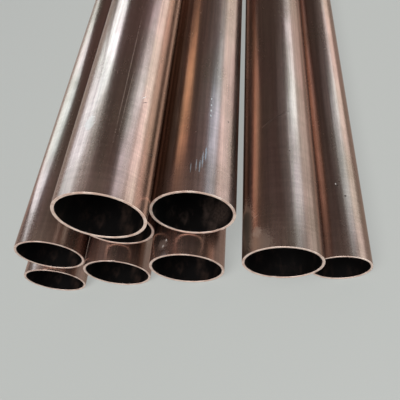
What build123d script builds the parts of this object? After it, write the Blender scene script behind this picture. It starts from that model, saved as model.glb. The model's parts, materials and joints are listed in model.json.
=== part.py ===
from build123d import *
from collections import namedtuple
from math import sqrt
import os

os.makedirs("parts", exist_ok=True)

# A stack of ten straight copper tubes in three sizes, lying on a level floor.
# Five tubes lie on the floor. Four lie in the grooves above them, and one lies on top.
# The tubes run along +Y with their near cut ends towards -Y, and +Z is up.
# The origin is on the floor, under the middle of the stack. Lengths are in millimetres.

# Outside diameter and wall of each size of hard drawn tube.
LARGE_OUTSIDE = 42.0
LARGE_WALL = 1.5
MEDIUM_OUTSIDE = 35.0
MEDIUM_WALL = 1.2
SMALL_OUTSIDE = 28.0
SMALL_WALL = 1.0

# Every tube is cut square to one length, and its edges are taken off outside and inside.
TUBE_LENGTH = 1000.0
OUTER_DEBURR = 0.2
INNER_DEBURR = 0.3

# Room left where two tubes touch.
SEAT_CLEARANCE = 0.3

# Open gaps between the walls of neighbours on the floor, from left to right.
GAP_1_2 = 17.0
GAP_2_3 = 11.0
GAP_3_4 = 12.0
GAP_4_5 = 7.0

# The third middle tube touches the fourth only at its far end: its near end stands off.
STAND_OFF = 3.0

# How far each near end lies behind the foremost one.
SETBACK_FLOOR_1 = 22.0
SETBACK_FLOOR_2 = 19.0
SETBACK_FLOOR_3 = 14.0
SETBACK_FLOOR_4 = 40.0
SETBACK_FLOOR_5 = 5.0
SETBACK_MIDDLE_1 = 24.0
SETBACK_MIDDLE_2 = 30.0
SETBACK_MIDDLE_3 = 26.0
SETBACK_MIDDLE_4 = 0.0
SETBACK_TOP = 14.0

Size = namedtuple("Size", "radius wall")
Place = namedtuple("Place", "x z radius")

large = Size(LARGE_OUTSIDE / 2, LARGE_WALL)
medium = Size(MEDIUM_OUTSIDE / 2, MEDIUM_WALL)
small = Size(SMALL_OUTSIDE / 2, SMALL_WALL)


def on_floor(size, left, gap):
    """Place a tube on the floor, to the right of another with a gap between their walls."""
    reach = left.radius + gap + size.radius
    step = sqrt(reach**2 - (left.radius - size.radius) ** 2)
    return Place(left.x + step, size.radius, size.radius)


def in_groove(size, left, right, stand_off=0.0):
    """Place a tube on top of two others, or standing off the one on the right."""
    to_left = left.radius + SEAT_CLEARANCE + size.radius
    to_right = right.radius + SEAT_CLEARANCE + size.radius + stand_off
    run, rise = right.x - left.x, right.z - left.z
    span = sqrt(run**2 + rise**2)
    along = (span**2 + to_left**2 - to_right**2) / (2 * span)
    above = sqrt(to_left**2 - along**2)
    x = left.x + (along * run - above * rise) / span
    z = left.z + (along * rise + above * run) / span
    return Place(x, z, size.radius)


def tube(size, near, far, setback, reach):
    """A straight deburred tube. Its axis passes two places that are a reach apart."""
    start = Vector(near.x, 0, near.z)
    axis = (Vector(far.x, reach, far.z) - start).normalized()
    cut = Plane(origin=start + axis * setback, x_dir=(1, 0, 0), z_dir=axis)
    section = Circle(size.radius) - Circle(size.radius - size.wall)
    body = extrude(cut * section, TUBE_LENGTH)
    rims = body.edges().filter_by(GeomType.CIRCLE).sort_by(SortBy.RADIUS)
    body = chamfer(rims[-2:], OUTER_DEBURR)
    rims = body.edges().filter_by(GeomType.CIRCLE).sort_by(SortBy.RADIUS)
    return chamfer(rims[:2], INNER_DEBURR)


# The floor row, from left to right: three large tubes and two small ones.
floor_1 = Place(0.0, large.radius, large.radius)
floor_2 = on_floor(large, floor_1, GAP_1_2)
floor_3 = on_floor(large, floor_2, GAP_2_3)
floor_4 = on_floor(small, floor_3, GAP_3_4)
floor_5 = on_floor(small, floor_4, GAP_4_5)

# The middle row. The fourth tube lies on the two small ones and carries the third.
middle_1 = in_groove(large, floor_1, floor_2)
middle_2 = in_groove(large, floor_2, floor_3)
middle_4 = in_groove(medium, floor_4, floor_5)
middle_3_near = in_groove(large, floor_3, middle_4, STAND_OFF)
middle_3_far = in_groove(large, floor_3, middle_4)

# The top tube follows the two that carry it.
top_near = in_groove(large, middle_2, middle_3_near)
top_far = in_groove(large, middle_2, middle_3_far)

# For each tube: its size, its places at the near and far ends, and its setback.
layout = {
    "floor_tube_1": (large, floor_1, floor_1, SETBACK_FLOOR_1),
    "floor_tube_2": (large, floor_2, floor_2, SETBACK_FLOOR_2),
    "floor_tube_3": (large, floor_3, floor_3, SETBACK_FLOOR_3),
    "floor_tube_4": (small, floor_4, floor_4, SETBACK_FLOOR_4),
    "floor_tube_5": (small, floor_5, floor_5, SETBACK_FLOOR_5),
    "middle_tube_1": (large, middle_1, middle_1, SETBACK_MIDDLE_1),
    "middle_tube_2": (large, middle_2, middle_2, SETBACK_MIDDLE_2),
    "middle_tube_3": (large, middle_3_near, middle_3_far, SETBACK_MIDDLE_3),
    "middle_tube_4": (medium, middle_4, middle_4, SETBACK_MIDDLE_4),
    "top_tube": (large, top_near, top_far, SETBACK_TOP),
}

reach = TUBE_LENGTH + max(setback for _, _, _, setback in layout.values())
stack = {name: tube(*piece, reach) for name, piece in layout.items()}

# The middle of the stack's box comes to x = 0 and y = 0, and the floor stays at z = 0.
middle = Compound(list(stack.values())).bounding_box().center()
centred = Location((-middle.X, -middle.Y, 0))
for name, body in stack.items():
    export_step(centred * body, f"parts/{name}.step")
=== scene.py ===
# %% [markdown]
# This is a stack of ten hard drawn copper tubes in three sizes, as a plumber's merchant keeps them.
# Five lie on the floor, four lie in the grooves above them and one lies on top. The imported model
# gives every tube its place and size. They could be typed in here as numbers, but this script reads
# them from the model, so the finish follows it and nothing is fitted by eye.

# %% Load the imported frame
import json
import math
from collections import namedtuple

import bmesh
import bpy
from mathutils import Matrix, Vector, noise


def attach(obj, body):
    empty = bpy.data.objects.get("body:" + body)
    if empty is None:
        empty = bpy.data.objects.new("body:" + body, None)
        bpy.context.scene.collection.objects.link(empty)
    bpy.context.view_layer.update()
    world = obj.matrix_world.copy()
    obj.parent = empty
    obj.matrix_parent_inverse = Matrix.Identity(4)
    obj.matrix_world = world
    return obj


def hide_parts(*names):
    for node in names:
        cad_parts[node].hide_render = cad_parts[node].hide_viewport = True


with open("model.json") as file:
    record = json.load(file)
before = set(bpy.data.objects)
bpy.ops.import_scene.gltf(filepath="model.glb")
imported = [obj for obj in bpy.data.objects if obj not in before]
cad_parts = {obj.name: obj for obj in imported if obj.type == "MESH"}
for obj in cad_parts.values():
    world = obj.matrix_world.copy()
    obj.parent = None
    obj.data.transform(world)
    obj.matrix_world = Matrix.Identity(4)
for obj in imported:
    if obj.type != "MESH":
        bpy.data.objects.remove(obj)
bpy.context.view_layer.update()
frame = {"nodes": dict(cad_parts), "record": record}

MM = 0.001
print("tubes in the frame:", len(frame["nodes"]))

# %% [markdown]
# A tube is known by its axis, its bore, its outside and its length. The record states each bore as a
# mount with a place and a radius, and the outside is the farthest that the tube's own points lie
# from that axis. Measuring both means that a changed tube is followed without any new number here.

# %% Measure each tube
Tube = namedtuple("Tube", "name near axis bore outside length")


def measured(mount):
    """Read one tube's axis and bore from its mount, and its outside and ends from its points."""
    name = mount["name"].removesuffix("_bore")
    axis = -Vector(mount["axis"]).normalized()
    mouth = Vector(mount["pos_m"])
    along, across = [], []
    for point in frame["nodes"][name].data.vertices:
        offset = point.co - mouth
        along.append(offset.dot(axis))
        across.append((offset - axis * along[-1]).length)
    near = mouth + axis * min(along)
    return Tube(name, near, axis, mount["dims"]["r_mm"] * MM, max(across), max(along) - min(along))


tubes = {tube.name: tube for tube in map(measured, frame["record"]["mounts"])}
for tube in tubes.values():
    print(f"{tube.name}: {tube.outside * 2 / MM:.1f} mm outside, {tube.length:.3f} m long")

# %% [markdown]
# A cut tube has four rims, and each has its edge taken off: the outside edges with a file, and the
# inside edges with a reamer, which takes a little more. Two cylinders and a boolean would make the
# wall too, but they leave long thin faces at the rims. So the wall is drawn as a plain rectangle and
# spun round the axis, and the four rims are bevelled afterwards. The spin has many steps, because the
# close view looks straight at the cut ends.

# %% Tools for the tube's wall
AROUND = 192
OUTSIDE_EDGE = 0.2 * MM
INSIDE_EDGE = 0.3 * MM
EDGE_STEPS = 3
SAME_PLACE = 1e-6


def spun_wall(tube):
    """Spin the wall's section round the Y axis, from the near end at zero to the far end."""
    mesh = bmesh.new()
    section = ((tube.bore, 0), (tube.outside, 0), (tube.outside, tube.length), (tube.bore, tube.length))
    corners = [mesh.verts.new((0, along, across)) for across, along in section]
    lines = [mesh.edges.new((corners[i - 1], corners[i])) for i in range(4)]
    bmesh.ops.spin(
        mesh, geom=corners + lines, cent=(0, 0, 0), axis=(0, 1, 0), dvec=(0, 0, 0),
        angle=math.tau, steps=AROUND, use_merge=True, use_normal_flip=False, use_duplicate=False,
    )
    bmesh.ops.recalc_face_normals(mesh, faces=mesh.faces)
    return mesh


def is_rim(edge, radius):
    """True for an edge that runs round a cut end at the given distance from the axis."""
    first, second = (corner.co for corner in edge.verts)
    level = abs(first.y - second.y) < SAME_PLACE
    return level and all(abs(math.hypot(co.x, co.z) - radius) < SAME_PLACE for co in (first, second))


def take_off_edges(mesh, radius, size):
    """Round the rims of one radius, as a file or a reamer leaves them."""
    rims = [edge for edge in mesh.edges if is_rim(edge, radius)]
    bmesh.ops.bevel(
        mesh, geom=rims, offset=size, offset_type="OFFSET", affect="EDGES",
        segments=EDGE_STEPS, profile=0.5, material=-1, clamp_overlap=True,
    )


print("steps round each tube:", AROUND)

# %% [markdown]
# Three near ends have a nick where the saw broke through, and every cut wanders by a few hundredths
# of a millimetre. A bump in the material would only shade such an edge. Both are moves of the rim's
# own points along the tube instead, so the mesh itself carries them.

# %% Nicks and uneven cuts
Nick = namedtuple("Nick", "angle width depth")
NICKS = {
    "middle_tube_3": [Nick(172, 2.2 * MM, 0.35 * MM)],
    "floor_tube_2": [Nick(35, 1.6 * MM, 0.30 * MM)],
    "middle_tube_4": [Nick(-143, 1.8 * MM, 0.25 * MM)],
}
RIM_UNEVEN = 0.06 * MM
RIM_WAVES = 9.0
RIM_REACH = 0.6 * MM


def around_angle(point):
    """Degrees round the tube from its top, towards its right."""
    return math.degrees(math.atan2(point.x, point.z))


def wear_rims(mesh, tube, seed):
    """Let the cut wander a little at both ends, and press the nicks into the near one."""
    for corner in mesh.verts:
        at_near_end = corner.co.y < tube.length / 2
        inward = corner.co.y if at_near_end else tube.length - corner.co.y
        if inward > RIM_REACH:
            continue
        sign = 1 if at_near_end else -1
        ring = corner.co / tube.outside * RIM_WAVES
        move = RIM_UNEVEN * (noise.noise(Vector((ring.x, seed + sign, ring.z))) + 1) / 2
        for nick in NICKS.get(tube.name, []) if at_near_end else []:
            turn = (around_angle(corner.co) - nick.angle + 180) % 360 - 180
            arc = math.radians(turn) * tube.outside
            move += nick.depth * math.exp(-((2 * arc / nick.width) ** 2))
        corner.co.y += sign * move * (1 - inward / RIM_REACH)


print("tubes with a nicked end:", ", ".join(NICKS))

# %% [markdown]
# One mesh carries three finishes: the drawn wall, the bright cuts with their edges, and the dark bore.
# Smooth shading makes the spun faces look round, but left alone it also blends the wall into the
# cut, which paints a false glow beside each rim. Edges marked sharp between the surfaces stop that.

# %% The surfaces of a tube
WALL, CUT, BORE = range(3)
END_LEAN = 0.02
FLAT_CUT = 0.999


def finish_of(face, tube):
    """The wall, the cut ends or the bore, from where a face lies."""
    middle = face.calc_center_median()
    across = math.hypot(middle.x, middle.z)
    if abs(face.normal.y) > END_LEAN:
        return CUT
    return WALL if across > (tube.bore + tube.outside) / 2 else BORE


def keep_surfaces_apart(mesh):
    """Mark the edges of the wall, the bore and the flat cuts sharp, so each keeps its own normals."""
    def surface(face):
        return "flat cut" if abs(face.normal.y) > FLAT_CUT else face.material_index

    for edge in mesh.edges:
        first, second = edge.link_faces
        edge.smooth = surface(first) == surface(second)


print("surfaces on each tube:", BORE + 1)

# %% [markdown]
# The finish has to follow each tube along and round its own wall, also where a tube lies a little
# askew. Object coordinates would run straight through all of them. So each mesh keeps its points'
# places in the tube's own measure, before it is laid in the stack: X and Z across the tube, and Y
# along it from the near end. The materials read that.

# %% Build the tubes
PLACE = "place_on_tube"


def drawn_tube(tube, seed):
    """Make one tube as a mesh object that lies where the frame has it."""
    mesh = spun_wall(tube)
    take_off_edges(mesh, tube.outside, OUTSIDE_EDGE)
    take_off_edges(mesh, tube.bore, INSIDE_EDGE)
    mesh.normal_update()
    for face in mesh.faces:
        face.material_index = finish_of(face, tube)
        face.smooth = True
    keep_surfaces_apart(mesh)
    wear_rims(mesh, tube, seed)
    data = bpy.data.meshes.new(tube.name + "_drawn")
    mesh.to_mesh(data)
    mesh.free()
    place = data.attributes.new(PLACE, "FLOAT_VECTOR", "POINT")
    place.data.foreach_set("vector", [value for point in data.vertices for value in point.co])
    turn = Vector((0, 1, 0)).rotation_difference(tube.axis).to_matrix().to_4x4()
    data.transform(Matrix.Translation(tube.near) @ turn)
    made = bpy.data.objects.new(tube.name + "_drawn", data)
    bpy.context.scene.collection.objects.link(made)
    return made


pieces = {}
for seed, tube in enumerate(tubes.values()):
    pieces[tube.name] = drawn_tube(tube, seed)
print("faces on each tube:", len(pieces["top_tube"].data.polygons))

# %% [markdown]
# Materials are built from nodes. They could be wired by hand in the editor, but here the same steps
# come back in every finish, and nodes are easier to read as sentences. These helpers add a node, fill
# its inputs with values or links, and hand back the socket that the next node needs.

# %% Helpers for shader nodes
def fill(tree, made, inputs):
    """Give a node's inputs their values, or a link where the value is another node's socket."""
    for key, value in inputs.items():
        if isinstance(value, bpy.types.NodeSocket):
            tree.links.new(value, made.inputs[key])
        else:
            made.inputs[key].default_value = value


def add(tree, kind, inputs, output=0, **settings):
    """Add a node, set its options, fill its inputs and return one of its outputs."""
    made = tree.nodes.new("ShaderNode" + kind)
    for key, value in settings.items():
        setattr(made, key, value)
    fill(tree, made, inputs)
    return made.outputs[output]


def calc(tree, operation, first, second=0.0, third=0.0):
    """Arithmetic on one, two or three numbers."""
    return add(tree, "Math", {0: first, 1: second, 2: third}, operation=operation)


def vector_calc(tree, operation, first, second, output=0):
    """Arithmetic on two vectors."""
    return add(tree, "VectorMath", {0: first, 1: second}, output, operation=operation)


def rise(tree, value, low, high, bottom=0.0, top=1.0):
    """A smooth step from bottom to top while the value goes from low to high."""
    inputs = {"Value": value, "From Min": low, "From Max": high, "To Min": bottom, "To Max": top}
    return add(tree, "MapRange", inputs, interpolation_type="SMOOTHSTEP")


def blend_colours(tree, share, first, second, how="MIX"):
    """Mix two colours by a share."""
    return add(tree, "Mix", {0: share, 6: first, 7: second}, 2, data_type="RGBA", blend_type=how)


def clouds(tree, place, scale, seed, detail=2.0, roughness=0.5):
    """Noise, with its own scale along each axis, in features to the metre."""
    stretched = vector_calc(tree, "MULTIPLY", place, scale)
    inputs = {"Vector": stretched, "W": seed, "Scale": 1.0, "Detail": detail, "Roughness": roughness}
    return add(tree, "TexNoise", inputs, noise_dimensions="4D")


print("node helpers are ready")

# %% [markdown]
# An effect that several materials share is kept in a node group, with named sockets like a tool with
# labelled knobs. Copying its nodes into each material would work as well, but then a change would
# have to be made ten times.

# %% Helpers for node groups
def new_group(name, inputs, outputs):
    """A node group with named sockets, and its inner input and output nodes."""
    tree = bpy.data.node_groups.new(name, "ShaderNodeTree")
    for label, kind in inputs.items():
        tree.interface.new_socket(label, in_out="INPUT", socket_type="NodeSocket" + kind)
    for label, kind in outputs.items():
        tree.interface.new_socket(label, in_out="OUTPUT", socket_type="NodeSocket" + kind)
    return tree, tree.nodes.new("NodeGroupInput").outputs, tree.nodes.new("NodeGroupOutput").inputs


def use_group(tree, group, inputs):
    """Place a node group and return its outputs by name."""
    made = tree.nodes.new("ShaderNodeGroup")
    made.node_tree = group
    fill(tree, made, inputs)
    return made.outputs


print("group helpers are ready")

# %% [markdown]
# Drawing pulls the tube through a die, which leaves fine lines along it, and straightening rolls
# leave faint rings round it. Every such layer is noise, stretched along the tube or round it. A
# photograph of copper could be wrapped round the wall instead, but it would blur up close and show
# the same spot on every tube. Noise with a seed for each tube does neither.

# %% Layers of the drawn skin
Layer = namedtuple("Layer", "scale detail roughness seed_shift", defaults=(2.0, 0.5, 0.0))
LAYERS = {
    "lines": Layer((1500, 6, 1500), 3.0, 0.6),
    "broad": Layer((260, 4, 260)),
    "streaks": Layer((520, 14, 520), 3.0, 0.6, 2.0),
    "mottle": Layer((70, 32, 70), 5.0, 0.6),
    "grain": Layer((900, 500, 900), 3.0, 0.7),
    "rings": Layer((12, 900, 12)),
    "lean": Layer((55, 11, 55), 3.0),
}


def skin_layers(tree, place, seed):
    """The noise of every layer, by its name."""
    made = {}
    for name, layer in LAYERS.items():
        own_seed = calc(tree, "ADD", seed, layer.seed_shift)
        made[name] = clouds(tree, place, layer.scale, own_seed, layer.detail, layer.roughness)
    return made


print("layers of the skin:", ", ".join(LAYERS))

# %% [markdown]
# Storage gives bright copper a brown bloom in cloudy patches, thicker near the open ends where hands
# and air reach it. The patches lean to olive in some places and to maroon in others. The bloom could
# be one even brown, but the real one never is. The fine lines and grain only lighten or darken it.

# %% Bloom and colour of the skin
MOTTLE_SHARE, BROAD_SHARE = 0.75, 0.25
BLOOM_SPREAD = (0.30, 0.72)
END_BLOOM, END_BLOOM_REACH = 0.25, 0.045
LEAN_SPREAD = (0.38, 0.62)
OLIVE = (0.965, 1.0, 0.94, 1)
MAROON = (1.05, 0.965, 0.965, 1)
NOISE_SPREAD = (0.3, 0.7)
SHADES = {"lines": (0.90, 1.09), "grain": (0.95, 1.05), "streaks": (0.88, 1.12)}
RING_SHADE_NEAR, RING_SHADE_FAR, RING_REACH = 0.07, 0.02, 0.12


def skin_bloom(tree, layers, along):
    """How thick the bloom is, from 0 to 1."""
    mottle = calc(tree, "MULTIPLY", layers["mottle"], MOTTLE_SHARE)
    patches = calc(tree, "MULTIPLY_ADD", layers["broad"], BROAD_SHARE, mottle)
    at_end = rise(tree, along, 0.0, END_BLOOM_REACH, END_BLOOM, 0.0)
    return calc(tree, "MINIMUM", calc(tree, "ADD", rise(tree, patches, *BLOOM_SPREAD), at_end), 1.0)


def skin_colour(tree, given, layers, along, bloom):
    """Copper under its bloom, tinted in patches and shaded by the fine layers."""
    tint = blend_colours(tree, rise(tree, layers["lean"], *LEAN_SPREAD), OLIVE, MAROON)
    tone = blend_colours(tree, bloom, given["Copper"], given["Bloom"])
    tone = blend_colours(tree, 1.0, tone, tint, "MULTIPLY")
    rings = rise(tree, layers["rings"], *NOISE_SPREAD, -1.0, 1.0)
    ringed = rise(tree, along, 0.0, RING_REACH, RING_SHADE_NEAR, RING_SHADE_FAR)
    shade = calc(tree, "MULTIPLY_ADD", rings, ringed, 1.0)
    for name, (dark, light) in SHADES.items():
        shade = calc(tree, "MULTIPLY", shade, rise(tree, layers[name], *NOISE_SPREAD, dark, light))
    grey = add(tree, "CombineXYZ", {0: shade, 1: shade, 2: shade})
    return blend_colours(tree, 1.0, tone, grey, "MULTIPLY")


print("layers that shade the copper:", ", ".join(SHADES))

# %% [markdown]
# The bloom is an oxide, so where it is thick the skin is a little less of a metal and scatters more.
# The metal share could stay at one all over, but then the patches would gleam like new copper. The
# height holds the draw lines and rings, so highlights break up along them. One group gives all four.

# %% The drawn skin
CLEAN_ROUGHNESS, BLOOM_ROUGHNESS, GRAIN_ROUGHNESS = 0.19, 0.09, 0.03
GRAIN_SPREAD = (0.35, 0.75)
BLOOM_DULLS = 0.06
END_DUST, END_DUST_REACH = 0.10, 0.022
HEIGHTS = {"lines": 0.12, "broad": 0.20, "rings": 0.10, "grain": 0.015}


def drawn_skin():
    """Colour, roughness, metal share and height of drawn copper with a brown bloom."""
    tree, given, out = new_group(
        "Drawn skin",
        {"Place": "Vector", "Seed": "Float", "Copper": "Color", "Bloom": "Color"},
        {"Color": "Color", "Roughness": "Float", "Metal": "Float", "Height": "Float"},
    )
    layers = skin_layers(tree, given["Place"], given["Seed"])
    along = add(tree, "SeparateXYZ", {0: given["Place"]}, 1)
    bloom = skin_bloom(tree, layers, along)
    tree.links.new(skin_colour(tree, given, layers, along, bloom), out["Color"])
    rough = calc(tree, "MULTIPLY_ADD", bloom, BLOOM_ROUGHNESS, CLEAN_ROUGHNESS)
    grain = rise(tree, layers["grain"], *GRAIN_SPREAD, 0.0, GRAIN_ROUGHNESS)
    tree.links.new(calc(tree, "ADD", rough, grain), out["Roughness"])
    metal = calc(tree, "MULTIPLY_ADD", bloom, -BLOOM_DULLS, 1.0)
    dusty = rise(tree, along, 0.0, END_DUST_REACH, END_DUST, 0.0)
    tree.links.new(calc(tree, "SUBTRACT", metal, dusty), out["Metal"])
    height = 0.0
    for name, share in HEIGHTS.items():
        height = calc(tree, "MULTIPLY_ADD", layers[name], share, height)
    tree.links.new(height, out["Height"])
    return tree


DRAWN_SKIN = drawn_skin()
print("made the group", DRAWN_SKIN.name)

# %% [markdown]
# Handling leaves small marks: scratches that show dark, scuffs that show light, straw coloured heat stains
# near an end, and specks of dried flux. Some marks are painted light instead: the bluish marks on
# middle_tube_3 are painted glints, and the two long light lines on the top tube are painted highlights.
# Each is listed here with its place: degrees round the tube from its top, and millimetres from its near
# end. Random marks would be less work, but they would not lie where this stack has them.

# %% Marks of handling and painted glints
Mark = namedtuple("Mark", "kind angle along half_width half_length tilt", defaults=(0,))
MARK_COLOURS = {
    "dark": (0.010, 0.007, 0.006, 1),
    "light": (0.66, 0.55, 0.48, 1),
    # blue is used only for the painted bluish glints on middle_tube_3
    "blue": (0.36, 0.50, 0.58, 1),
    "white": (0.85, 0.84, 0.80, 1),
    "straw": (0.50, 0.41, 0.32, 1),
}
MARK_STRENGTHS = {"dark": 0.85, "light": 0.25, "blue": 0.6, "white": 0.85, "straw": 0.3}
MARKS = {
    "top_tube": [
        Mark("light", 11.4, 37, 3.0, 4.5), Mark("white", 73, 58, 0.18, 1.6, 35),
        Mark("dark", 75, 55, 0.20, 1.8, 50), Mark("dark", 103, 30.5, 0.22, 3.6, 62),
        # The last two marks here, long thin light lines, are painted highlights along the wall.
        Mark("light", 46, 70, 0.25, 48), Mark("light", 51, 52, 0.18, 22, 1),
    ],
    "middle_tube_3": [
        Mark("white", 48.2, 45.2, 0.35, 0.7), Mark("white", 48.0, 48.6, 0.40, 0.9),
        Mark("white", 47.8, 52.4, 0.35, 0.8), Mark("white", 47.5, 56.6, 0.30, 0.7),
        # The five blue marks are painted bluish glints.
        Mark("dark", 76.9, 46.5, 0.5, 0.6), Mark("blue", 45.5, 21.5, 0.45, 4.6),
        Mark("blue", 42.0, 17.5, 0.40, 5.0), Mark("blue", 39.0, 14.0, 0.35, 4.0),
        Mark("blue", 34.5, 14.5, 0.25, 3.6), Mark("blue", 28.0, 13.0, 0.20, 3.0),
    ],
    "floor_tube_3": [
        Mark("white", -4.5, 5.7, 0.7, 0.8), Mark("white", -0.2, 8.9, 0.6, 0.7),
        Mark("light", -6.0, 7.0, 3.4, 3.2),
    ],
    "middle_tube_4": [
        Mark("dark", 18.6, 67.3, 0.42, 7.8, 56), Mark("light", -16.0, 15.8, 0.22, 1.8, 80),
        Mark("dark", 37.6, 47.7, 0.4, 0.4), Mark("light", -14.0, 8.5, 2.6, 2.6),
        Mark("straw", -10.0, 2.0, 6.5, 8.0), Mark("straw", -38.0, 13.0, 6.0, 15.0),
    ],
    "floor_tube_5": [
        Mark("dark", 25.0, 36.4, 0.8, 0.9, 20), Mark("dark", 28.5, 38.6, 0.6, 0.6),
        Mark("white", 22.5, 37.4, 0.3, 0.5), Mark("dark", 38.0, 30.7, 0.7, 0.5),
    ],
    "middle_tube_1": [Mark("dark", 76.0, 8.4, 0.9, 0.8), Mark("dark", 81.0, 10.4, 0.6, 1.0)],
}
print("marks on the tubes:", sum(map(len, MARKS.values())))

# %% [markdown]
# Each mark is a soft spot on the wall. A texture could hold it as a picture, but a spot worked out
# from the tube's own measure stays sharp at any distance. One group draws it: it moves and turns the
# wall's places until the spot is a round one at the middle, and noise makes its edge ragged.

# %% The shape of a mark
RAGGED_EDGE = 1.6
MARK_EDGE = (0.55, 1.15)


def mark_or_glint():
    """A ragged spot: 1 inside and 0 outside, from places in millimetres round and along the wall."""
    tree, given, out = new_group(
        "Mark or painted glint",
        {
            "Round": "Float", "Along": "Float", "Ragged": "Float",
            "Centre": "Vector", "Half": "Vector", "Tilt": "Float",
        },
        {"Mask": "Float"},
    )
    spot = add(tree, "CombineXYZ", {0: given["Round"], 1: given["Along"], 2: 0.0})
    spot = vector_calc(tree, "SUBTRACT", spot, given["Centre"])
    axis = add(tree, "CombineXYZ", {2: 1.0})
    spot = add(tree, "VectorRotate", {"Vector": spot, "Axis": axis, "Angle": given["Tilt"]})
    spot = vector_calc(tree, "DIVIDE", spot, given["Half"])
    reach = add(tree, "VectorMath", {0: spot}, "Value", operation="LENGTH")
    ragged = calc(tree, "MULTIPLY_ADD", given["Ragged"], RAGGED_EDGE, -RAGGED_EDGE / 2)
    mask = rise(tree, calc(tree, "ADD", reach, ragged), *MARK_EDGE, 1.0, 0.0)
    tree.links.new(mask, out["Mask"])
    return tree


MARK_OR_GLINT = mark_or_glint()
print("made the group", MARK_OR_GLINT.name)

# %% [markdown]
# Every finish starts the same way: a material with its Principled shader, the tube's own places, and
# a height that goes to the shader through a Bump node. These helpers keep that in one place.

# %% Helpers for a finish
def new_material(name):
    """An empty node material, its tree and its Principled shader."""
    made = bpy.data.materials.new(name)
    made.use_nodes = True
    return made, made.node_tree, made.node_tree.nodes["Principled BSDF"]


def place_on_tube(tree):
    """Each point's place in the tube's own measure, in metres."""
    return add(tree, "Attribute", {}, "Vector", attribute_name=PLACE)


def turn_on_tube(tree, place):
    """Radians round the tube from its top, towards its right."""
    across = add(tree, "SeparateXYZ", {0: place}, 0)
    above = add(tree, "SeparateXYZ", {0: place}, 2)
    return calc(tree, "ARCTAN2", across, above)


def relief(tree, shader, height, distance, strength):
    """Feed a height to the shader as bump."""
    bump = add(tree, "Bump", {"Height": height, "Distance": distance, "Strength": strength})
    tree.links.new(bump, shader.inputs["Normal"])


print("finish helpers are ready")

# %% [markdown]
# A mark lies over the skin's colour and covers the metal. So it changes three things at once: the
# colour, the roughness and the share that is metal. Changing the colour alone would leave a stain
# that shines like the copper round it.

# %% Lay the marks on the wall
MARK_ROUGHNESS = 0.18
MARK_COVERS = 0.8
MARK_RAGGED = (1600, 1600, 1600)
RAGGED_SEED, RAGGED_DETAIL = 5.0, 2.0


def marked(tree, tube, place, colour, rough, metal):
    """Lay one tube's handling marks and painted glints over its colour, roughness and metal share."""
    radius = tube.outside / MM
    around = calc(tree, "MULTIPLY", turn_on_tube(tree, place), radius)
    along = calc(tree, "MULTIPLY", add(tree, "SeparateXYZ", {0: place}, 1), 1 / MM)
    ragged = clouds(tree, place, MARK_RAGGED, RAGGED_SEED, RAGGED_DETAIL)
    for mark in MARKS.get(tube.name, []):
        spot = use_group(tree, MARK_OR_GLINT, {
            "Round": around, "Along": along, "Ragged": ragged,
            "Centre": (math.radians(mark.angle) * radius, mark.along, 0),
            "Half": (mark.half_width, mark.half_length, 1), "Tilt": math.radians(mark.tilt),
        })["Mask"]
        share = calc(tree, "MULTIPLY", spot, MARK_STRENGTHS[mark.kind])
        colour = blend_colours(tree, share, colour, MARK_COLOURS[mark.kind])
        rough = calc(tree, "MULTIPLY_ADD", share, MARK_ROUGHNESS, rough)
        metal = calc(tree, "MULTIPLY", metal, calc(tree, "MULTIPLY_ADD", share, -MARK_COVERS, 1.0))
    return colour, rough, metal


print("kinds of mark:", ", ".join(MARK_COLOURS))

# %% [markdown]
# Where a tube lies close over a neighbour, the side that faces down into the groove between them lies in
# shade. On two tubes that shade is painted into the colour, as a dark strip of painted shade along that
# side. Less light could darken it too, but a lamp can't be kept off one strip, so the strip is part of the
# finish. It is given in degrees round the tube, and noise keeps its edges from being ruled lines.

# %% Painted shade in the grooves
PAINTED_SHADE_COLOUR = (0.022, 0.012, 0.008, 1)
PAINTED_SHADE_SHARE = 0.90
GROOVES = {"middle_tube_3": (-75, 2), "middle_tube_4": (-95, -26)}
LOW_EDGE, HIGH_EDGE = 8, 5
PAINTED_SHADE_RAGGED = (200, 40, 200)
PAINTED_SHADE_WANDER = 8.0


def painted_groove_shade(tree, tube, place, colour):
    """Darken the strip of wall that faces down into the groove beside a neighbour, as painted shade."""
    low, high = GROOVES[tube.name]
    angle = calc(tree, "MULTIPLY", turn_on_tube(tree, place), math.degrees(1))
    ragged = clouds(tree, place, PAINTED_SHADE_RAGGED, 8.0, 3.0)
    wander = calc(tree, "MULTIPLY_ADD", ragged, PAINTED_SHADE_WANDER, -PAINTED_SHADE_WANDER / 2)
    angle = calc(tree, "ADD", angle, wander)
    above_low = rise(tree, angle, low - LOW_EDGE, low + LOW_EDGE)
    below_high = rise(tree, angle, high - HIGH_EDGE, high + HIGH_EDGE, PAINTED_SHADE_SHARE, 0.0)
    return blend_colours(tree, calc(tree, "MULTIPLY", above_low, below_high), colour, PAINTED_SHADE_COLOUR)


print("tubes with painted_shade in a groove:", ", ".join(GROOVES))

# %% [markdown]
# Each tube has its own copy of the finish with its own seed, so that no two show the same lines.
# Bare copper is salmon pink, and the bloom takes it towards a dull grey brown. The three tubes at the
# right are a little darker than the rest. A thin film of drawing oil gives a faint second gloss,
# which the shader has as its coat.

# %% The wall's finish
COPPER = (0.50, 0.33, 0.288, 1)
BLOOM = (0.32, 0.215, 0.175, 1)
TONE = {"middle_tube_3": 0.90, "middle_tube_4": 0.74, "floor_tube_5": 0.66}
SEED_STEP = 7.3
EDGE_TINT = (0.85, 0.66, 0.58, 1)
OIL_FILM, OIL_ROUGHNESS = 0.1, 0.12
DRAWN_RELIEF, RELIEF_STRENGTH = 0.12 * MM, 0.5


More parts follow.
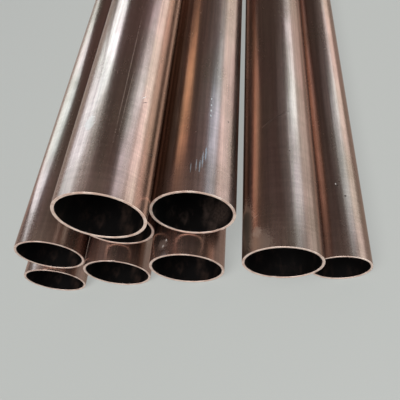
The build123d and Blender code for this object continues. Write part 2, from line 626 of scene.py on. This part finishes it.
def wall_copper(tube, seed):
    """The outside of one tube."""
    made, tree, shader = new_material(f"drawn_copper_{tube.name}")
    place = place_on_tube(tree)
    tone = TONE.get(tube.name, 1.0)
    copper, bloom = ([value * tone for value in colour[:3]] + [1] for colour in (COPPER, BLOOM))
    skin = use_group(tree, DRAWN_SKIN, {
        "Place": place, "Seed": seed * SEED_STEP, "Copper": copper, "Bloom": bloom,
    })
    # Two tubes get their strip of painted shade along the groove here.
    colour = painted_groove_shade(tree, tube, place, skin["Color"]) if tube.name in GROOVES else skin["Color"]
    colour, rough, metal = marked(tree, tube, place, colour, skin["Roughness"], skin["Metal"])
    tree.links.new(colour, shader.inputs["Base Color"])
    tree.links.new(rough, shader.inputs["Roughness"])
    tree.links.new(metal, shader.inputs["Metallic"])
    shader.inputs["Specular Tint"].default_value = EDGE_TINT
    shader.inputs["Coat Weight"].default_value = OIL_FILM
    shader.inputs["Coat Roughness"].default_value = OIL_ROUGHNESS
    relief(tree, shader, skin["Height"], DRAWN_RELIEF, RELIEF_STRENGTH)
    return made


print("bare copper", COPPER[:3], "and its bloom", BLOOM[:3])

# %% [markdown]
# The saw leaves the ends bright and pink, with fine lines across them and duller spots. Full metal
# would mirror the dark room and turn the rims black, but a sawn face scatters light, so only a part of
# this finish is metal. All ten tubes share it.

# %% The cut ends
CUT_COPPER = (0.92, 0.72, 0.62, 1)
CUT_DULL = (0.72, 0.50, 0.41, 1)
SAW_LINES = (300, 300, 2600)
DULL_SPOTS, DULL_SPREAD = (220, 220, 220), (0.42, 0.66)
CUT_ROUGHNESS = (0.38, 0.52)
CUT_METAL = 0.35
SAW_RELIEF = 0.05 * MM


def cut_copper():
    """The bright sawn ends and their rounded edges."""
    made, tree, shader = new_material("cut_copper")
    place = place_on_tube(tree)
    lines = clouds(tree, place, SAW_LINES, 1.5, 2.0)
    dull = rise(tree, clouds(tree, place, DULL_SPOTS, 4.0, 3.0), *DULL_SPREAD)
    tree.links.new(blend_colours(tree, dull, CUT_COPPER, CUT_DULL), shader.inputs["Base Color"])
    tree.links.new(rise(tree, lines, *NOISE_SPREAD, *CUT_ROUGHNESS), shader.inputs["Roughness"])
    shader.inputs["Metallic"].default_value = CUT_METAL
    relief(tree, shader, lines, SAW_RELIEF, RELIEF_STRENGTH)
    return made


ENDS = cut_copper()
print("made", ENDS.name)

# %% [markdown]
# Inside, the bore keeps a dark oxide from the works, so it shows almost black with a few brown clouds.
# In one tube the oxide has worn off in small specks low down in the mouth. Plain black would be
# quicker, but the mouths face the camera, and a black without any texture looks like a hole in the
# picture.

# %% The bore
BORE_OXIDE = (0.0025, 0.002, 0.002, 1)
BORE_BROWN = (0.030, 0.018, 0.014, 1)
BORE_WORN = (0.050, 0.034, 0.028, 1)
WORN_PLACE = (5.5 * MM, 10 * MM, -18.7 * MM)
WORN_REACH = (3 * MM, 11 * MM)
BORE_CLOUDS, BROWN_SPREAD = (120, 60, 120), (0.5, 0.75)
WORN_SPECKS, SPECK_SPREAD, SPECK_SHARE = (900, 700, 900), (0.35, 0.65), (0.3, 1.0)
BORE_ROUGHNESS = (0.5, 0.7)
BORE_GLOSS = 0.12
BORE_RELIEF, BORE_RELIEF_STRENGTH = 0.1 * MM, 0.4


def bore_oxide(name, brown_oxide, worn=None):
    """The dark inside of a tube, with brown clouds, and more of them near a worn place."""
    made, tree, shader = new_material(name)
    place = place_on_tube(tree)
    mottle = clouds(tree, place, BORE_CLOUDS, 2.0, 5.0, 0.65)
    brown = rise(tree, mottle, *BROWN_SPREAD)
    if worn:
        specks = rise(tree, clouds(tree, place, WORN_SPECKS, 3.0, 3.0, 0.7), *SPECK_SPREAD, *SPECK_SHARE)
        reach = vector_calc(tree, "DISTANCE", place, worn, "Value")
        near = calc(tree, "MULTIPLY", rise(tree, reach, *WORN_REACH, 1.0, 0.0), specks)
        brown = calc(tree, "MAXIMUM", brown, near)
    tree.links.new(blend_colours(tree, brown, BORE_OXIDE, brown_oxide), shader.inputs["Base Color"])
    tree.links.new(rise(tree, mottle, *NOISE_SPREAD, *BORE_ROUGHNESS), shader.inputs["Roughness"])
    shader.inputs["Specular IOR Level"].default_value = BORE_GLOSS
    relief(tree, shader, mottle, BORE_RELIEF, BORE_RELIEF_STRENGTH)
    return made


INSIDE = bore_oxide("bore_oxide", BORE_BROWN)
WORN_INSIDE = bore_oxide("bore_oxide_worn", BORE_WORN, WORN_PLACE)
print("made", INSIDE.name, "and", WORN_INSIDE.name)

# %% [markdown]
# The materials go on in the order of the surfaces: wall, cut and bore. Each drawn tube then stands for its
# plain tube of the imported model and rides on the stack's one body.

# %% Dress the tubes
WORN_TUBE = "middle_tube_3"
for seed, tube in enumerate(tubes.values()):
    piece = pieces[tube.name]
    inside = WORN_INSIDE if tube.name == WORN_TUBE else INSIDE
    for finish in (wall_copper(tube, seed), ENDS, inside):
        piece.data.materials.append(finish)
    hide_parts(tube.name)
    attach(piece, "root")
print("tubes dressed:", len(pieces))

# %% [markdown]
# The floor is plain and pale. It could be lit until it looks white, but that light would fall on the
# copper too. So part of its brightness is a glow that only the camera and mirrored views see. It
# reaches far past the stack, so that the side views see no edge near by.

# %% The floor
FLOOR = (0.21, 0.215, 0.205, 1)
FLOOR_GLOW = (0.345, 0.362, 0.352, 1)
FLOOR_ROUGHNESS = 0.45
FLOOR_REACH = 12.0


def pale_floor():
    """A wide plain floor at the level that the stack lies on."""
    mesh = bmesh.new()
    bmesh.ops.create_grid(mesh, x_segments=1, y_segments=1, size=FLOOR_REACH)
    data = bpy.data.meshes.new("floor")
    mesh.to_mesh(data)
    mesh.free()
    made, tree, shader = new_material("pale_floor")
    shader.inputs["Base Color"].default_value = FLOOR
    shader.inputs["Roughness"].default_value = FLOOR_ROUGHNESS
    shader.inputs["Emission Color"].default_value = FLOOR_GLOW
    path = tree.nodes.new("ShaderNodeLightPath").outputs
    seen = calc(tree, "MAXIMUM", path["Is Camera Ray"], path["Is Glossy Ray"])
    seen = calc(tree, "MAXIMUM", seen, path["Is Transmission Ray"])
    tree.links.new(seen, shader.inputs["Emission Strength"])
    data.materials.append(made)
    floor = bpy.data.objects.new("floor", data)
    bpy.context.scene.collection.objects.link(floor)


pale_floor()
print("floor colour", FLOOR[:3])

# %% [markdown]
# Polished tubes show what stands round them, so their looks are made by the lamps as much as by the
# metal. Tubes in a stack see different parts of a room between their neighbours, and one set of lamps
# can't give all of them their highlights. Painting the highlights on would fail as soon as the view
# turned. Light linking solves it: a lamp can be kept for the tubes that it is named for, and a clear
# one shines past the neighbours too.

# %% Helpers for lamps
def glowing_face(name, width, height, strength, colour):
    """A rectangular lamp, unseen by the camera, whose face has the given brightness: 1 is white."""
    data = bpy.data.lights.new(name, "AREA")
    data.shape = "RECTANGLE"
    data.size, data.size_y = width, height
    data.energy = strength * math.pi * width * height
    data.color = colour
    made = bpy.data.objects.new(name, data)
    made.visible_camera = False
    bpy.context.scene.collection.objects.link(made)
    return made


def keep_for_tubes(made, names, clear):
    """Keep a lamp for some tubes. A clear one is blocked by no others."""
    if not names:
        return
    group = bpy.data.collections.new(made.name + " tubes")
    for name in names:
        group.objects.link(pieces[name])
    made.light_linking.receiver_collection = group
    if clear:
        made.light_linking.blocker_collection = group


print("lamp helpers are ready")

# %% [markdown]
# A soft box is a large lamp with a cloth front, and a photographer hangs it by where it should show:
# so many degrees to the side, and so many up. Each box here is placed the same way and faces the near
# ends of the tubes. Typing places and turns would work too, but a highlight is far easier to move by
# an angle.

# %% Helpers for soft boxes
FAR = 2.2
Lamp = namedtuple(
    "Lamp", "azimuth elevation width height strength colour tubes clear distance",
    defaults=((), False, FAR),
)
LAMP_CENTRE = Vector((0.03, -0.45, 0.05))


def toward(azimuth, elevation):
    """The direction that lies so many degrees right of +Y and above the floor."""
    turn, lift = math.radians(azimuth), math.radians(elevation)
    return Vector((math.sin(turn) * math.cos(lift), math.cos(turn) * math.cos(lift), math.sin(lift)))


def hang_soft_boxes(lamps):
    """Make each lamp of a table, turned to face the near ends of the tubes."""
    for name, lamp in lamps.items():
        made = glowing_face(name, lamp.width, lamp.height, lamp.strength, lamp.colour)
        away = toward(lamp.azimuth, lamp.elevation)
        made.location = LAMP_CENTRE + away * lamp.distance
        made.rotation_euler = away.to_track_quat("Z", "Y").to_euler()
        keep_for_tubes(made, lamp.tubes, lamp.clear)
    print("soft boxes:", ", ".join(lamps))


# %% [markdown]
# A large box behind the camera is the key lamp. It lights the floor and the cut ends and shows on no
# wall. Cool boxes beyond the far end on the left draw the long highlights down the left side of each
# tube. One wide box would give each tube the same broad band. Several slim ones leave dark between
# them, which is what makes the copper look polished.

# %% Soft boxes behind the camera and on the left
LEFT_STACK = ("floor_tube_1", "floor_tube_3", "middle_tube_2", "top_tube")
STACK = LEFT_STACK + ("floor_tube_2", "middle_tube_1")
hang_soft_boxes({
    "key": Lamp(165, 58, 2.4, 1.8, 4.4, (1.0, 0.99, 0.98), distance=2.6),
    "left": Lamp(-50.5, 33.5, 1.10, 1.24, 3.5, (0.53, 0.82, 1.0), LEFT_STACK),
    "left_slim": Lamp(-21.5, 34.0, 0.70, 0.85, 5.2, (0.53, 0.82, 1.0), LEFT_STACK),
    "left_high": Lamp(-32.0, 53.0, 1.40, 0.85, 0.60, (0.75, 0.95, 1.0), LEFT_STACK),
    "left_outer": Lamp(-47.0, 27.0, 1.25, 1.40, 2.9, (0.54, 0.84, 1.0), ("middle_tube_1",)),
})

# %% [markdown]
# The boxes on the right stand low, so each tube shows them down its right side. The lower box of each
# pair carries the highlight down to the mouth, where the wall curves under. The boxes are bluish
# because copper takes the blue out again: a white box would show as orange.

# %% Soft boxes on the right
MIDDLE_3, MIDDLE_4, FLOOR_5 = ("middle_tube_3",), ("middle_tube_4",), ("floor_tube_5",)
hang_soft_boxes({
    "right": Lamp(55.2, 11.0, 0.93, 0.86, 1.65, (0.62, 0.85, 1.0), STACK),
    "right_low": Lamp(41.0, 4.5, 0.66, 0.46, 1.5, (0.58, 0.82, 1.0), STACK),
    "right_cool": Lamp(54.0, 12.0, 1.00, 0.86, 1.5, (0.43, 0.76, 1.0), MIDDLE_3),
    "right_cool_low": Lamp(42.0, 4.0, 0.66, 0.46, 0.8, (0.50, 0.80, 1.0), MIDDLE_3),
    "right_outer": Lamp(55.0, 12.0, 0.95, 1.00, 2.1, (0.60, 0.86, 1.0), MIDDLE_4 + FLOOR_5),
    "right_outer_low": Lamp(40.0, 4.5, 0.66, 0.66, 2.6, (0.60, 0.86, 1.0), MIDDLE_4),
    "right_outer_floor": Lamp(41.0, -1.0, 0.66, 0.46, 2.2, (0.60, 0.86, 1.0), FLOOR_5),
})

# %% [markdown]
# Copper beside copper glows: light that has bounced off one tube is warm when it reaches the next.
# The renderer finds some of it by itself, but the streaks that the three tubes on the right catch from
# their neighbours come from beyond the stack, so three warm boxes stand for them. A wide dim box
# softens the dark of the same three tubes, and the last one lights the mouth of one tube.

# %% Warm and soft boxes
hang_soft_boxes({
    "warm_upper": Lamp(-14.0, 44.0, 0.80, 0.70, 1.10, (1.0, 0.68, 0.42), MIDDLE_3),
    "warm_middle": Lamp(-46.0, 28.0, 1.20, 0.50, 1.1, (1.0, 0.69, 0.50), MIDDLE_4, True),
    "warm_floor": Lamp(-25.0, 45.0, 0.60, 1.10, 0.65, (1.0, 0.58, 0.38), FLOOR_5, True),
    "right_soft": Lamp(46.0, 33.0, 1.30, 0.90, 0.2, (0.75, 0.90, 1.0), MIDDLE_3 + MIDDLE_4 + FLOOR_5),
    "mouth": Lamp(-150, 40, 1.2, 1.0, 1.5, (1.0, 1.0, 1.0), MIDDLE_3, distance=2.6),
})

# %% [markdown]
# The lower right side of each tube shows the bright floor beside the stack. A brighter floor would
# change the whole picture, so glowing cards lie a little above it instead, one for each group of
# tubes with its own strength. Low and high are where a card begins and ends, in metres to the right.

# %% Cards on the floor
Card = namedtuple("Card", "low high strength colour tubes clear", defaults=(False,))
CARDS = {
    "card": Card(0.145, 0.965, 1.5, (0.80, 0.94, 0.98), STACK),
    "card_outer": Card(0.155, 0.965, 0.90, (0.80, 0.94, 0.98), MIDDLE_4),
    "card_floor": Card(0.145, 0.965, 2.2, (0.80, 0.94, 0.98), FLOOR_5),
    "card_middle": Card(0.112, 0.700, 1.9, (0.80, 0.95, 1.0), MIDDLE_3, True),
    "card_top": Card(0.030, 0.160, 0.85, (1.0, 0.90, 0.80), ("top_tube",), True),
    "card_under": Card(0.080, 0.250, 0.45, (1.0, 0.75, 0.60), ("floor_tube_2", "floor_tube_3"), True),
}
CARD_HEIGHT = 0.002
CARD_LENGTH = 1.45

for name, card in CARDS.items():
    made = glowing_face(name, card.high - card.low, CARD_LENGTH, card.strength, card.colour)
    made.location = ((card.low + card.high) / 2, 0, CARD_HEIGHT)
    made.rotation_euler = (math.pi, 0, 0)
    keep_for_tubes(made, card.tubes, card.clear)
print("cards:", ", ".join(CARDS))

# %% [markdown]
# The sky stands for the room: pale at the horizon all round, a little brighter on the right, dim
# above, which gives each tube its dark middle, and not quite so dim straight overhead. One grey all
# over would be simpler, but a mirror needs something to show.

# %% Sky
SKY_LOW = (0.50, 0.53, 0.54, 1)
SKY_RIGHT = (0.36, 0.40, 0.48, 1)
SKY_DIM = (0.115, 0.098, 0.092, 1)
SKY_TOP = (0.22, 0.21, 0.21, 1)
HORIZON = (0.10, 0.26)
RIGHT_SIDE, RIGHT_HEIGHT = (-0.1, 0.3), (0.06, 0.42)
OVERHEAD = (0.72, 1.0)


def sky():
    """Colour the world by height and side."""
    world = bpy.data.worlds.new("studio")
    bpy.context.scene.world = world
    world.use_nodes = True
    tree = world.node_tree
    direction = add(tree, "TexCoord", {}, "Generated")
    across = add(tree, "SeparateXYZ", {0: direction}, 0)
    up = add(tree, "SeparateXYZ", {0: direction}, 2)
    tint = blend_colours(tree, rise(tree, up, *OVERHEAD), SKY_DIM, SKY_TOP)
    right = calc(tree, "MULTIPLY", rise(tree, across, *RIGHT_SIDE), rise(tree, up, *RIGHT_HEIGHT, 1.0, 0.0))
    tint = blend_colours(tree, right, tint, SKY_RIGHT)
    tint = blend_colours(tree, rise(tree, up, *HORIZON, 1.0, 0.0), tint, SKY_LOW)
    tree.links.new(tint, tree.nodes["Background"].inputs["Color"])


sky()
print("sky at the horizon", SKY_LOW[:3], "and above", SKY_DIM[:3])

# %% [markdown]
# The camera looks down on the near ends from the right, a hand's breadth above the top tube, and is
# rolled until the tubes run up the picture. It could be aimed by eye, but its place, aim and roll
# were found from the outlines of the cut ends, because a few degrees change every one of them.

# %% The camera
CAMERA_PLACE = Vector((0.1424, -0.5871, 0.1942))
CAMERA_AIM = Vector((0.0370, -0.4759, 0.0400))
CAMERA_ROLL = -48.68
LENS, SENSOR = 36.26, 36.0
NEAREST_SEEN = 0.01


def camera():
    """The camera of the main view."""
    data = bpy.data.cameras.new("camera")
    data.lens = LENS
    data.sensor_width = SENSOR
    data.sensor_fit = "HORIZONTAL"
    data.clip_start = NEAREST_SEEN
    made = bpy.data.objects.new("camera", data)
    bpy.context.scene.collection.objects.link(made)
    level = (CAMERA_AIM - CAMERA_PLACE).to_track_quat("-Z", "Y").to_matrix().to_4x4()
    roll = Matrix.Rotation(math.radians(CAMERA_ROLL), 4, "Z")
    made.matrix_world = Matrix.Translation(CAMERA_PLACE) @ level @ roll
    bpy.context.scene.camera = made


camera()
print("camera to aim:", round((CAMERA_AIM - CAMERA_PLACE).length, 4), "m")

# %% [markdown]
# Colours are shown as they are, with no film look.

# %% View settings
bpy.context.scene.view_settings.view_transform = "Standard"
